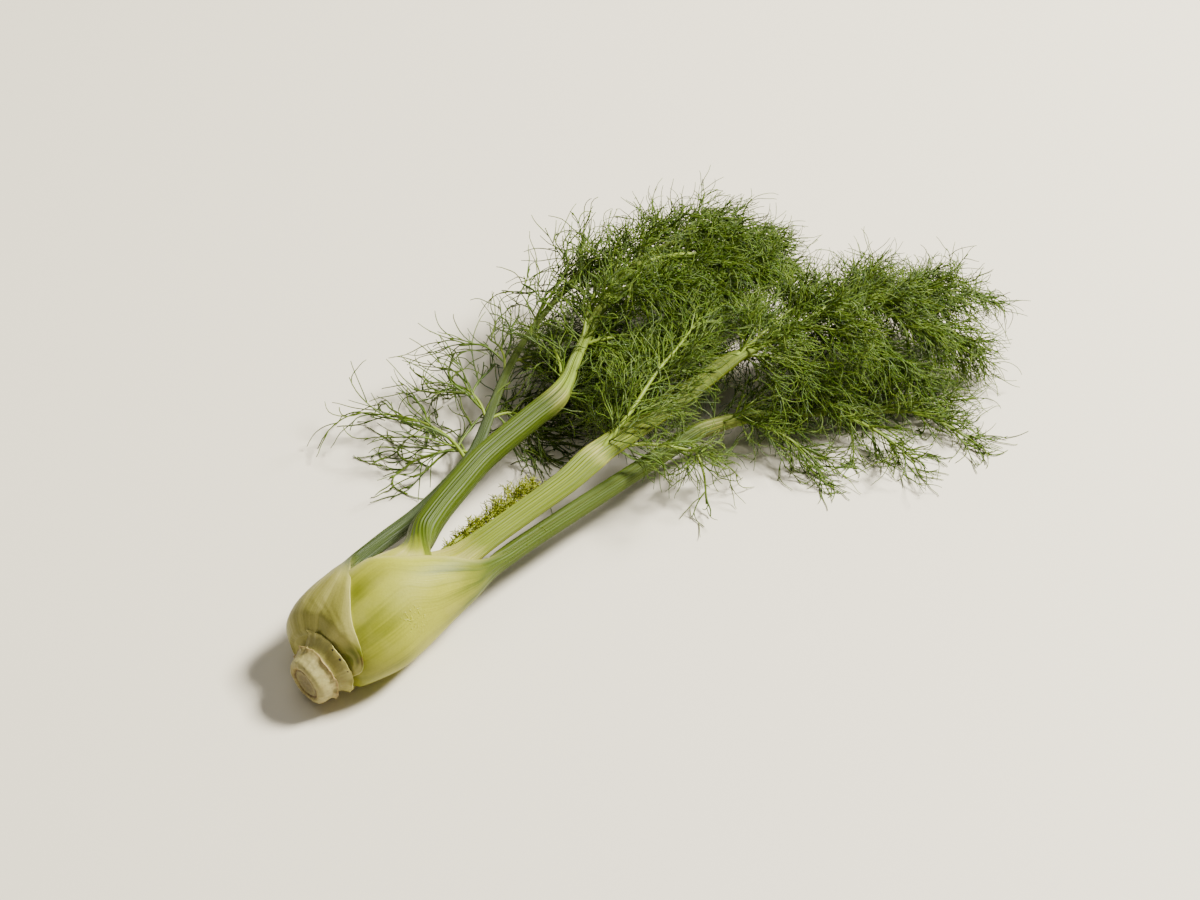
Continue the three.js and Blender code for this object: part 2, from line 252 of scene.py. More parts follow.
# Each leaf's leaflets: x where it leaves the rib, its tip x, y, z, how high it arches and how full it
# is against the usual.
LEAFLETS = {
    "outer_leaf": [
        (106, 96, 124, 13, 10, 0.7),
        (112, 84, 92, 0.6, 6, 0.9),
        (132, 140, 106, 17, 8, 1.1),
        (134, 160, 58, 6, 4, 1.4),
        (158, 172, 106, 28, 6, 1.1),
        (166, 204, 70, 20, -6, 1.5),
        (186, 214, 105, 43, 8, 1.2),
        (210, 242, 96, 53, 8, 1.3),
    ],
    "left_leaf": [
        (163, 192, 92, 32, 6, 0.85),
        (160, 202, 22, 16, -6, 1.25),
        (186, 236, 87, 52, 12, 0.95),
        (190, 252, 9, 31, 2, 1.3),
        (216, 256, 85, 64, 10, 1),
        (220, 290, 30, 38, 2, 1.25),
        (244, 284, 85, 63, 8, 1.08),
        (250, 328, 23, 38, 4, 1.2),
        (276, 308, 70, 58, 6, 1.1),
        (284, 330, 38, 45, 4, 1.2),
    ],
    "middle_leaf": [
        (139, 252, 20, 56, 16, 0.8),
        (142, 206, -44, 14, 2, 0.58),
        (238, 300, -10, 52, 6, 1.2),
        (241, 292, -58, 18, 2, 1.08),
        (276, 342, -23, 46, 6, 1.2),
        (282, 326, -82, 16, 4, 1.05),
        (314, 378, -41, 40, 4, 1.12),
        (320, 366, -84, 16, 4, 1),
        (346, 394, -64, 32, 4, 1),
    ],
    "front_leaf": [
        (196, 178, -52, 0.6, 8, 0.6),
        (212, 262, -34, 16, 4, 1.15),
        (226, 246, -82, 0.6, 8, 1),
        (252, 304, -60, 14, 6, 1),
        (272, 286, -112, 0.6, 6, 1),
        (292, 340, -92, 9, 4, 1),
        (306, 322, -122, 0.6, 4, 1),
    ],
}

# How closely each leaf's threads fork, how thick they are and how far they reach, against the usual.
THREADS = {
    "outer_leaf": (0.62, 1.3, 1.55),
    "front_leaf": (0.95, 1, 0.95),
    "left_leaf": (1.36, 0.95, 0.95),
    "middle_leaf": (1.34, 0.95, 0.95),
}

# The young shoot's middle line: x, y, z and how far its threads reach from it.
SHOOT = [
    (42, 4, 35, 2),
    (58, 3.4, 37, 5.5),
    (74, 2.4, 38.5, 7.5),
    (90, 2.4, 39.5, 8.5),
    (103, 1.6, 40, 5),
]


def smooth(x, low, high):
    """0 below low and 1 above high, with t*t*(3 - 2t) between."""
    t = np.clip((x - low) / (high - low), 0, 1)
    return t * t * (3 - 2 * t)


def mix(a, b, t):
    """a at t = 0 and b at t = 1, in a straight line between."""
    return a + (b - a) * t


def unit(vectors):
    """Each vector divided by its length."""
    return vectors / np.maximum(np.linalg.norm(vectors, axis=-1, keepdims=True), 1e-9)


def along(table, x):
    """The table's other columns at x, one row for each x: cubic Hermite curves through its rows, whose
    slope at a row is the difference of its neighbours over their distance in x."""
    table = np.array(table, float)
    at, values = table[:, 0], table[:, 1:]
    low = np.maximum(np.arange(len(at)) - 1, 0)
    high = np.minimum(np.arange(len(at)) + 1, len(at) - 1)
    slopes = (values[high] - values[low]) / (at[high] - at[low])[:, None]
    x = np.clip(np.asarray(x, float), at[0], at[-1])
    i = np.clip(np.searchsorted(at, x) - 1, 0, len(at) - 2)
    step = (at[i + 1] - at[i])[:, None]
    t = (x - at[i])[:, None] / step
    return (
        (2 * t**3 - 3 * t**2 + 1) * values[i]
        + (t**3 - 2 * t**2 + t) * step * slopes[i]
        + (3 * t**2 - 2 * t**3) * values[i + 1]
        + (t**3 - t**2) * step * slopes[i + 1]
    )


def ripple(seed, *waves):
    """Smooth irregular ripples: the mean of a few sines of each (coordinate, frequency) pair's sum, with
    frequencies and phases varied at random from the seed."""
    rng = np.random.default_rng(seed)
    total = 0
    for _ in range(6):
        phase = rng.uniform(0, 2 * np.pi)
        for coordinate, frequency in waves:
            phase = phase + coordinate * frequency * rng.choice([-1, 1]) * rng.uniform(0.4, 1.6)
        total = total + np.sin(phase)
    return total / 6


def mesh_object(name, points, faces, uv_name, uvs):
    """A mesh object from points in millimetres, a list of face arrays, and the (u, v) of every corner
    of each face array."""
    mesh = bpy.data.meshes.new(name)
    corners = np.concatenate([f.ravel() for f in faces]).astype(np.int32)
    sizes = np.concatenate([np.full(len(f), f.shape[1]) for f in faces])
    starts = np.concatenate([[0], np.cumsum(sizes)[:-1]]).astype(np.int32)
    mesh.vertices.add(len(points))
    mesh.vertices.foreach_set("co", (points * MM).astype(np.float32).ravel())
    mesh.loops.add(len(corners))
    mesh.loops.foreach_set("vertex_index", corners)
    mesh.polygons.add(len(sizes))
    mesh.polygons.foreach_set("loop_start", starts)
    layer = mesh.uv_layers.new(name=uv_name)
    flat = np.concatenate([uv.reshape(-1, 2) for uv in uvs]).astype(np.float32)
    layer.data.foreach_set("uv", flat.ravel())
    mesh.update(calc_edges=True)
    mesh.shade_smooth()
    made = bpy.data.objects.new(name, mesh)
    bpy.context.scene.collection.objects.link(made)
    return made


def tube_faces(tubes, rings, sides):
    """The faces of closed tubes whose points are in order of tube, ring and side: a quad between each
    pair of rings and sides, and a flat cap on each end."""
    base = np.arange(tubes)[:, None] * rings * sides
    ring, side = [g.ravel() for g in np.meshgrid(np.arange(rings - 1), np.arange(sides), indexing="ij")]
    here, there = ring * sides + side, ring * sides + (side + 1) % sides
    quad = np.stack([here, there, there + sides, here + sides], -1)
    start, end = np.arange(sides)[::-1], (rings - 1) * sides + np.arange(sides)
    return [
        (base[:, :, None] + quad).reshape(-1, 4),
        (base + start).reshape(-1, sides),
        (base + end).reshape(-1, sides),
    ]


def loft(name, rings, u, v):
    """A closed surface through rings of points, (ring, place, xyz), with a fan to a pole at each end.
    u has a value for each ring and place, and one more at the end of each ring; v has one for each ring."""
    count, places = rings.shape[:2]
    ring, place = [g.ravel() for g in np.meshgrid(np.arange(count - 1), np.arange(places), indexing="ij")]
    after = (place + 1) % places
    here, there = ring * places + place, ring * places + after
    quads = np.stack([here, there, there + places, here + places], -1)
    steps = [(0, 0), (0, 1), (1, 1), (1, 0)]
    quad_uv = np.stack([np.stack([u[ring + i, place + j], v[ring + i]], -1) for i, j in steps], 1)
    j = np.arange(places)
    last = (count - 1) * places
    poles = np.stack([np.full(places, count * places), (j + 1) % places, j], -1)
    ends = np.stack([np.full(places, count * places + 1), last + j, last + (j + 1) % places], -1)
    pole_uv, end_uv = (
        np.stack([np.stack([u[at, corner], 0 * corner + v[at]], -1) for corner in corners], 1)
        for at, corners in ((0, (j, j + 1, j)), (-1, (j, j, j + 1)))
    )
    points = np.concatenate([rings.reshape(-1, 3), rings[[0, -1]].mean(1)])
    return mesh_object(name, points, [quads, poles, ends], "Grain", [quad_uv, pole_uv, end_uv])


def push_out(rings, height):
    """Rings of points moved outwards by height: along the cross product of the differences round the
    ring and from ring to ring."""
    around = np.roll(rings, -1, 1) - np.roll(rings, 1, 1)
    onwards = np.gradient(rings, axis=0)
    return rings + unit(np.cross(around, onwards)) * height[..., None]


def bulb_point(x, angle, inset):
    """Points on the bulb's outline at each x and angle, sunk by inset: an ellipse round its centre."""
    y, z, half_width, half_height = along(BULB, x)[:, :, None].transpose(1, 0, 2)
    angle = angle * DEGREE
    return np.stack(
        np.broadcast_arrays(
            x[:, None],
            y + (half_width - inset) * np.cos(angle),
            z + (half_height - inset) * np.sin(angle),
        ),
        -1,
    )


def leaf_rings(leaf, x, a, seed):
    """A leaf's closed sections at each x, and the grain coordinate u round them. a runs 0 to 1 over the
    outer face and 1 to 2 back over the inner one. On the bulb a section is an arc of the bulb's ellipse
    with a wall's thickness, on the stalk it is an ellipse whose inner half is flattened or hollowed, and
    over closes it turns from the one into the other in a straight line. u follows a, but on a fanned
    sheath it follows the angle round the bulb, so that the grain spreads with the sheath."""
    side = np.where(a <= 1, 2 * a - 1, 3 - 2 * a)[None]
    outside = (a <= 1)[None]
    margin = np.abs(side)
    if "sheath" in leaf:
        wraps = along(leaf["sheath"], x)
        frill = 1.2 * ripple(seed, (x, 0.25)) + 0.6 * ripple(seed + 1, (x, 0.8))
        wrap = np.where(side > 0, wraps[:, :1], wraps[:, 1:]) + frill[:, None] * margin**4
        base = 1 - smooth(x, BULB_START, BULB_START + 5)[:, None]
        outer = leaf["depth"] + leaf["tuck"] * margin**8 + 2.4 * base**2
        inset = np.where(outside, outer, outer + mix(leaf["thick"], leaf["edge"], margin**4))
        on_bulb = bulb_point(x, leaf["middle"] + side * wrap, inset)
        if leaf["lean"]:
            back = 1 - smooth(x, BULB_START, BULB_START + 3 * leaf["lean"])[:, None]
            on_bulb[..., 0] -= leaf["lean"] * back * np.maximum(np.cos(side * wrap * DEGREE), 0)
    else:
        angle = leaf["middle"] + (a[None] - 0.5) * 180 + 0 * x[:, None]
        on_bulb = bulb_point(x, angle, leaf["depth"])
    stalk = along(leaf["stalk"], x)
    slope = 2 * (along(leaf["stalk"], x + 0.5) - stalk)[:, :2]
    slope[x < leaf["stalk"][0][0]] = 0
    tangent = unit(np.column_stack([np.ones(len(x)), slope]))
    middle = leaf["middle"] * DEGREE
    outwards = np.array([0, math.cos(middle), math.sin(middle)]) + 0 * tangent
    outwards = unit(outwards - (outwards * tangent).sum(1)[:, None] * tangent)
    across = np.cross(tangent, outwards)
    turn = side * np.pi / 2
    hollow = np.minimum(1 - leaf["channel"] * (1 - margin**2), 1)
    lift = np.where(outside, np.cos(turn), -np.cos(turn) * hollow)
    centre = np.column_stack([x, stalk[:, :2]])
    on_stalk = (
        centre[:, None]
        + across[:, None] * (stalk[:, 2, None] / 2 * np.sin(turn))[..., None]
        + outwards[:, None] * (stalk[:, 3, None] / 2 * lift)[..., None]
    )
    closed = smooth(x, *leaf["closes"])[:, None, None]
    place = side * wrap / leaf["fanned"] if "fanned" in leaf else side + 0 * x[:, None]
    place = mix(place, side, np.maximum(margin**3, closed[..., 0]))
    u = np.where(outside, 0.5 + place / 2, 1.5 - place / 2)
    return mix(on_bulb, on_stalk, closed), u


def leaf_object(name, leaf, ribs, seed):
    """A leaf's whole surface: its sections, a little uneven on the bulb, with ribs raised on them that
    run from the sheath into the stalk. A rib is a cosine of the place round the section; its height
    grows from the bulb to the stalk and fades out on the blade's thin rib."""
    end = leaf["stalk"][-1][0]
    x = np.concatenate(
        [np.arange(BULB_START, 70, 0.9), np.arange(70.4, 170, 1.6), np.arange(171, end - 0.5, 2.2), [end]]
    )
    a = np.concatenate([np.linspace(0, 1, 131), np.linspace(1, 2, 71)[1:-1]])
    rings, u = leaf_rings(leaf, x, a, seed)
    uneven = 0.45 * ripple(seed + 2, (x[:, None], 0.09), (a[None], 9))
    rings = push_out(rings, uneven * (1 - smooth(x, 40, 90))[:, None])
    stalk = smooth(x, *leaf["closes"])[:, None]
    blade = 1 - 0.75 * smooth(x, 160, 240)[:, None]
    drift = 0.35 * ripple(seed + 3, (a[None], 14), (x[:, None], 0.012))
    height = (0.05 + 0.17 * stalk) * blade * (0.75 + 0.5 * ripple(seed + 4, (a[None], 8)))
    rings = push_out(rings, np.cos(2 * np.pi * (ribs * a[None] + drift)) * height)
    # a stretch that lies on the table doesn't sink into it
    rings[..., 2] = np.maximum(rings[..., 2], 0.02)
    return loft(name, rings, np.append(u, 2 + 0 * u[:, :1], axis=1), x / GRAIN)


def root_object(name):
    """The root stub: ellipses along its profile, swollen by lumps, furrows and fine unevenness, with the
    rims torn as far as the table says."""
    s = np.concatenate([np.arange(0.4, 18, 0.3), np.arange(18, ROOT_LENGTH, 0.15), [ROOT_LENGTH]])
    x, y, z, half_width, half_height, ragged = along(ROOT, s).T[..., None]
    places = 240
    phi = 2 * np.pi * np.arange(places)[None] / places
    around, upwards = np.cos(phi), np.sin(phi)
    torn = ragged * (ripple(3, (around, 5), (upwards, 6)) + 0.7 * ripple(4, (around, 15), (upwards, 17)))
    fine = ripple(5, (around, 22), (upwards, 25), (s[:, None], 2.5))
    lumps = ripple(6, (around, 3), (upwards, 3), (s[:, None], 0.3)) * smooth(s, 8, 13)[:, None]
    furrows = ripple(8, (around, 30), (upwards, 30), (s[:, None], 0.2)) * smooth(s, 7, 12)[:, None]
    swell = 1 + 0.034 * lumps + 0.05 * torn + 0.007 * fine + 0.011 * furrows
    rings = np.stack(
        np.broadcast_arrays(
            x - 1.1 * torn + 0.12 * fine,
            y + half_width * swell * around,
            z + half_height * swell * upwards,
        ),
        -1,
    )
    return loft(name, rings, np.linspace(0, 1, places + 1) + 0 * s[:, None], s / ROOT_LENGTH)


def at_place(curves, which, t):
    """Points and directions at t along the chosen curves, (curve, point, xyz): straight between points."""
    steps = curves.shape[1] - 1
    i = np.minimum((t * steps).astype(int), steps - 1)
    start, end = curves[which, i], curves[which, i + 1]
    return mix(start, end, (t * steps - i)[:, None]), unit(end - start)


def sprout(rng, curves, which, t, angle, roll, length, turn, droop, steps, sweep=(0, 0, 0)):
    """Threads that leave curves at places t. Each starts at angle to its parent's direction, turned by
    roll round it from the level sideways direction, with sweep added. It follows a circle's arc that
    turns by turn radians over its length, less droop * length * s * s in z at s along it, with a small
    sine swing across the arc."""
    start, tangent = at_place(curves, which, t)
    level = unit(np.cross(tangent, [0, 0, 1]) + 1e-6)
    upright = np.cross(level, tangent)
    outwards = level * np.cos(roll)[:, None] + upright * np.sin(roll)[:, None]
    heading = unit(tangent * np.cos(angle)[:, None] + outwards * np.sin(angle)[:, None] + sweep)
    square = unit(np.cross(heading, rng.normal(size=heading.shape)))
    other = np.cross(heading, square)
    s = np.linspace(0, 1, steps + 1)[None, :]
    bend = np.where(np.abs(turn) < 0.02, 0.02, turn)[:, None]
    forward, aside = np.sin(bend * s) / bend, (1 - np.cos(bend * s)) / bend
    waves, phase = rng.uniform(4, 9, (len(start), 1)), rng.uniform(0, 6, (len(start), 1))
    swing = 0.05 * s * np.sin(s * waves + phase)
    path = sum(
        amount[..., None] * direction[:, None]
        for amount, direction in ((forward, heading), (aside, square), (swing, other))
    )
    path = start[:, None] + length[:, None, None] * path
    path[..., 2] -= (droop * length)[:, None] * s**2
    return path


def spaced(rng, curves, pitch, low, high):
    """Places about a pitch apart on every curve, from low to high along it: each place's curve, its t,
    its rank on that curve and the curve's length."""
    lengths = np.linalg.norm(np.diff(curves, axis=1), axis=2).sum(1)
    counts = np.maximum(((high - low) * lengths / pitch).astype(int), 1)
    which = np.repeat(np.arange(len(curves)), counts)
    rank = np.arange(len(which)) - np.repeat(np.cumsum(counts) - counts, counts)
    t = low + (high - low) * (rank + rng.uniform(0.2, 0.8, len(which))) / counts[which]
    return which, t, rank, lengths[which]


def settle(curves, radius):
    """Curves kept above the table and within reach of the plant's box: what would go past either
    turns back over a soft corner."""
    low, high = (np.array(corner) / MM for corner in CAD_BOX)
    reach = (high - low) * 0.025 + 8
    low, high = low - reach, high + reach
    low[2] = radius + 0.05
    soft_low, soft_high = np.array([3, 3, 0.8]), np.array([3, 3, 2])
    curves = low + np.logaddexp(0, (curves - low) / soft_low) * soft_low
    return high - np.logaddexp(0, (high - curves) / soft_high) * soft_high


def tubes(curves, thick, thin, sides):
    """Points of round tubes along curves, thinning evenly: each ring is a regular polygon square to the
    curve, on two directions found from its tangent and one fixed direction per curve."""
    tangent = unit(np.gradient(curves, axis=1))
    fixed = np.cross(tangent[:, :1], np.roll(tangent[:, :1], 1, -1) + [0.3, 0.1, 0.2])
    first = unit(np.cross(np.broadcast_to(fixed, tangent.shape), tangent))
    second = np.cross(tangent, first)
    radius = mix(thick[:, None], thin[:, None], np.linspace(0, 1, curves.shape[1])[None] ** 1.5)
    phi = 2 * np.pi * np.arange(sides) / sides
    ring = first[:, :, None] * np.cos(phi)[:, None] + second[:, :, None] * np.sin(phi)[:, None]
    return curves[:, :, None] + ring * radius[:, :, None, None]


def thread_object(name, rng, levels):
    """One mesh of many closed tubes. Each level is (curves, thick, thin, sides, shade from, shade to).
    A thread's u runs between its level's shades and its v is one random value, so that its colour
    can follow both."""
    points, faces, uvs, offset = [], [], [], 0
    for curves, thick, thin, sides, shade_from, shade_to in levels:
        count, rings = curves.shape[:2]
        made = tubes(curves, np.broadcast_to(thick, count), np.broadcast_to(thin, count), sides)
        shade = np.broadcast_to(np.linspace(shade_from, shade_to, rings)[None, :, None], made.shape[:3])
        tone = np.broadcast_to(rng.uniform(0.02, 0.98, count)[:, None, None], made.shape[:3])
        corner = np.stack([shade, tone], -1).reshape(-1, 2)
        for face in tube_faces(count, rings, sides):
            faces.append(face + offset)
            uvs.append(corner[face])
        points.append(made.reshape(-1, 3))
        offset += count * rings * sides
    return mesh_object(name, np.concatenate(points), faces, "OFBake", uvs)


def leaflet_object(name, leaf, row, rng, sizes, density, thickness, spread):
    """A leaflet: its rib bends over from the leaf's rib to its tip, pairs of side ribs leave it nearly
    level, threads fork from them on all sides, and each thread forks again into fine tips."""
    x, *tip, arch, fullness = row
    density = density * fullness * sizes.density
    (y, z, *_), (y2, z2, *_) = along(leaf["stalk"], [x, x + 2])
    start, tip = np.array([x, y, z]), np.array(tip, float)
    length = np.linalg.norm(tip - start)
    forward = (tip - start) / length
    bend = mix(start, tip, 0.3) + 0.22 * length * unit(np.array([2, y2 - y, z2 - z]))
    bend[2] = max(bend[2] + arch, 0.6)
    t = np.linspace(0, 1, 25)[:, None]
    rib = ((1 - t) ** 2 * start + 2 * t * (1 - t) * bend + t**2 * tip)[None]
    rib[..., 1] += 1.2 * ripple(rng.integers(99), (t[:, 0], 9))
    rib = rib[:, :-2]

    # two rows of side ribs, one on each hand
    hand, t, _, _ = spaced(rng, np.repeat(rib, 2, 0), 6.2 / density, 0.04, 1)
    count = len(t)
    reach = spread * (length * 0.3 * (1.15 - t) ** 0.7 + 8) * rng.uniform(0.75, 1.25, count)
    first = sprout(
        rng, rib, 0 * hand, t,
        angle=rng.uniform(0.5, 1.1, count) * (1.1 - 0.4 * t),
        roll=hand * np.pi + rng.normal(0, 0.6, count),
        length=np.minimum(reach, 30),
        turn=rng.normal(0, 0.7, count),
        droop=rng.uniform(-0.05, 0.2, count),
        steps=10,
        sweep=0.12 * forward,
    )
    which, t, rank, parent = spaced(rng, first, 3.4 / density, 0.05, 1)
    count = len(t)
    second = sprout(
        rng, first, which, t,
        angle=rng.uniform(0.3, 0.95, count),
        roll=rank * np.pi + rng.normal(0, 1, count),
        length=spread * (0.38 * parent * (1.2 - t) + 10) * rng.uniform(0.6, 1.35, count),
        turn=rng.normal(0, 0.95, count),
        droop=rng.uniform(-0.1, 0.2, count),
        steps=8,
        sweep=0.25 * forward - SINK,
    )
    which, t, _, _ = spaced(rng, second, 4.1 / density, 0.12, 0.95)
    count = len(t)
    third = sprout(
        rng, second, which, t,
        angle=rng.uniform(0.25, 0.8, count),
        roll=rng.uniform(0, 2 * np.pi, count),
        length=spread * rng.uniform(8, 20, count) * np.where(rng.random(count) < 0.02, 1.7, 1),
        turn=rng.normal(0, 1.1, count),
        droop=rng.uniform(-0.1, 0.25, count),
        steps=7,
        sweep=0.2 * forward - SINK,
    )
    r = sizes.thread / MM * thickness
    levels = [
        (settle(rib, 1.2), 1.2 * (0.6 + length / 220), 0.5, 8, 0, 0.25),
        (settle(first, 0.5), 1.8 * r, 1.1 * r, 4, 0.2, 0.55),
        (settle(second, 0.3), 1.25 * r, 0.85 * r, 3, 0.4, 0.8),
        (settle(third, 0.3), r, 0.6 * r, 3, 0.6, 1),
    ]
    return thread_object(name, rng, levels)


def shoot_object(name, rng, sizes):
    """The young shoot: short threads in every direction from its middle line, each forking once."""
    x = np.linspace(SHOOT[0][0], SHOOT[-1][0], 31)
    y, z, reach = along(SHOOT, x).T
    line = np.stack([x, y, z], -1)[None]
    count = 300
    t = np.sort(rng.uniform(0.02, 1, count))
    far = np.interp(t, np.linspace(0, 1, len(x)), reach)
    first = sprout(
        rng, line, np.zeros(count, int), t,
        angle=rng.uniform(0.5, 1.3, count),
        roll=rng.uniform(0, 2 * np.pi, count),
        length=far * rng.uniform(0.5, 1.1, count) + 1,
        turn=rng.normal(0, 0.6, count),
        droop=rng.uniform(-0.1, 0.1, count),
        steps=6,
    )
    which, t, _, _ = spaced(rng, first, 0.8, 0.2, 1)
    count = len(t)
    second = sprout(
        rng, first, which, t,
        angle=rng.uniform(0.5, 1.2, count),
        roll=rng.uniform(0, 2 * np.pi, count),
        length=rng.uniform(1.2, 3.4, count),
        turn=rng.normal(0, 0.7, count),
        droop=rng.uniform(-0.1, 0.1, count),
        steps=5,
    )
    r = sizes.thread / MM
    levels = [
        (line, 1.7, 0.6, 8, 0, 0.2),
        (first, 0.9 * r, 0.7 * r, 3, 0.2, 0.6),
        (second, 0.72 * r, 0.5 * r, 3, 0.4, 1),
    ]
    return thread_object(name, rng, levels)


class Wire:
    """A socket in a material's node tree. Arithmetic on it adds Math nodes."""

    def __init__(self, paint, socket):
        self.paint, self.socket = paint, socket

    def math(self, operation, *values):
        return self.paint.node("ShaderNodeMath", {"operation": operation}, dict(enumerate(values)))

    def __add__(self, other):
        return self.math("ADD", self, other)

    def __radd__(self, other):
        return self.math("ADD", other, self)

    def __sub__(self, other):
        return self.math("SUBTRACT", self, other)

    def __rsub__(self, other):
        return self.math("SUBTRACT", other, self)

    def __mul__(self, other):
        return self.math("MULTIPLY", self, other)

    def __rmul__(self, other):
        return self.math("MULTIPLY", other, self)

    def __truediv__(self, other):
        return self.math("DIVIDE", self, other)

    def __rtruediv__(self, other):
        return self.math("DIVIDE", other, self)

    def __abs__(self):
        return self.math("ABSOLUTE", self)


class Paint:
    """A material under construction."""

    def __init__(self, name):
        self.material = bpy.data.materials.new(name)
        self.material.use_nodes = True
        self.tree = self.material.node_tree
        self.tree.nodes.clear()

    def node(self, kind, settings=None, inputs=None, output=0):
        """A node of this kind: its settings, then its sockets' values or links. A ramp's stops are the
        setting "stops"."""
        made = self.tree.nodes.new(kind)
        for key, value in (settings or {}).items():
            if key != "stops":
                setattr(made, key, value)
                continue
            elements = made.color_ramp.elements
            while len(elements) < len(value):
                elements.new(0.5)
            for element, (position, colour) in zip(elements, value):
                element.position = position
                element.color = (*colour, 1)
        for key, value in (inputs or {}).items():
            socket = made.inputs[key]
            if isinstance(value, Wire):
                self.tree.links.new(value.socket, socket)
            elif socket.type == "RGBA" and len(value) == 3:
                socket.default_value = (*value, 1)
            else:
                socket.default_value = value
        return Wire(self, made.outputs[output]) if made.outputs else None

    def ramp(self, value, *stops):
        """A colour ramp of (position, colour) stops on a value."""
        return self.node("ShaderNodeValToRGB", {"stops": stops}, {0: value})

    def blend(self, amount, a, b):
        """Colour a at amount 0 and b at 1."""
        return self.node("ShaderNodeMix", {"data_type": "RGBA"}, {0: amount, 6: a, 7: b}, 2)

    def ease(self, value, low, high, start=0.0, end=1.0):
        """start below low, end above high, and a smooth step between."""
        settings = {"interpolation_type": "SMOOTHSTEP"}
        return self.node("ShaderNodeMapRange", settings, {0: value, 1: low, 2: high, 3: start, 4: end})

    def vector(self, x, y):
        """A vector whose third coordinate is 0."""
        return self.node("ShaderNodeCombineXYZ", None, {0: x, 1: y})

    def noise(self, vector, scale, detail):
        """Noise from 0 to 1 at a vector."""
        sockets = {"Vector": vector, "Scale": scale, "Detail": detail, "Roughness": 0.5}
        return self.node("ShaderNodeTexNoise", None, sockets)

    def grain(self, uv_map="Grain"):
        """The two coordinates of the piece's own map."""
        both = self.node("ShaderNodeUVMap", {"uv_map": uv_map})
        return (
            self.node("ShaderNodeSeparateXYZ", None, {0: both}, 0),
            self.node("ShaderNodeSeparateXYZ", None, {0: both}, 1),
        )

    def place(self):
        """Object coordinates, in metres."""
        return self.node("ShaderNodeTexCoord", None, None, "Object")

    def near(self, spot, x, y, z, full, none):
        """1 within full millimetres of a point, 0 beyond none, and a smooth step between."""
        point = {0: spot, 1: (x * MM, y * MM, z * MM)}
        gone = self.node("ShaderNodeVectorMath", {"operation": "DISTANCE"}, point, "Value")
        return self.ease(gone, full * MM, none * MM, 1.0, 0.0)

    def finish(self, colour, roughness, height=None, depth=0.0002, **fixed):
        """Closes the material with its colour, roughness, bump height and fixed values, and returns it."""
        sockets = {"Base Color": colour, "Roughness": roughness, **fixed}
        if height is not None:
            bump = {"Strength": 1.0, "Distance": depth, "Height": height}
            sockets["Normal"] = self.node("ShaderNodeBump", None, bump)
        shader = self.node("ShaderNodeBsdfPrincipled", None, sockets)
        self.node("ShaderNodeOutputMaterial", None, {"Surface": shader})
        return self.material


def flesh_sockets(weight, radius, scale):
    """The shader's fixed values for light that soaks into plant flesh."""
    return {"Subsurface Weight": weight, "Subsurface Radius": radius, "Subsurface Scale": scale}


def leaf_material(name, closes, ground, streaks, margin, edge_amount, roughness, spots=(), wet=()):
    """A leaf's skin. ground and streaks hold (x in millimetres, colour) stops from the root to the tip:
    long lines of the second follow the leaf over the first. Up to where the sheath closes, its margins
    and faint clouds take the margin colour; past it a dark line of painted groove shade follows each
    margin. Each spot (x, y, z, radius, colour) fades in round its point, and round each wet point
    (x, y, z, radius) the skin is beaded and glossy."""
    paint = Paint(name)
    u, v = paint.grain()
    wobble = paint.noise(paint.vector(u * 9, v * 3), 1, 2)
    at = (v * GRAIN - RAMP_START + (wobble - 0.5) * 16) / RAMP_SPAN
    base, stripe = (
        paint.ramp(at, *[((x - RAMP_START) / RAMP_SPAN, colour) for x, colour in stops])
        for stops in (ground, streaks)
    )
    dark = streaks[len(streaks) // 2][1]
    broad = paint.noise(paint.vector(u * 13, v * 0.8), 1, 1)
    fine = paint.noise(paint.vector(u * 90, v * 1.4), 1, 2)
    colour = paint.blend(paint.ease(broad * 0.66 + fine * 0.34, 0.42, 0.66), base, stripe)

    bulb = paint.ease(v, closes[0] / GRAIN, closes[1] / GRAIN, 1.0, 0.0)
    side = abs((u - 0.5) * 2)
    colour = paint.blend(paint.ease(side, 0.88, 0.985) * bulb * edge_amount, colour, margin)
    # past the sheath's closing, a dark line beside each margin is painted shade of a groove
    groove_shade = paint.ease(abs(side - 0.93), 0.02, 0.06, 0.45, 0.0) * (1 - bulb)
    colour = paint.blend(groove_shade, colour, 0.45 * dark)

    spot = paint.place()
    speck = paint.noise(spot, 900, 3)
    cloud = paint.noise(spot, 70, 3)
    colour = paint.blend(paint.ease(speck, 0.35, 0.8, 0.0, 0.14), colour, 0.4 * dark)
    colour = paint.blend(paint.ease(cloud, 0.45, 0.75, 0.0, 0.16) * bulb, colour, margin)
    for x, y, z, radius, tint in spots:
        broken = paint.ease(cloud * 0.5 + fine * 0.5, 0.3, 0.55)
        colour = paint.blend(paint.near(spot, x, y, z, radius * 0.3, radius) * broken, colour, tint)

    rough = roughness + (cloud - 0.5) * 0.14
    height = fine * 0.7 + speck * 0.3
    for x, y, z, radius in wet:
        drops = paint.ease(paint.noise(spot, 650, 1), 0.55, 0.75)
        beads = paint.near(spot, x, y, z, radius * 0.4, radius) * drops
        rough = rough - beads * 0.32
        height = height + beads * 1.2
    sockets = flesh_sockets(0.1, (0.6, 0.8, 0.2), 0.003)
    return paint.finish(colour, rough, height, 0.00022, **{"Specular IOR Level": 0.2}, **sockets)


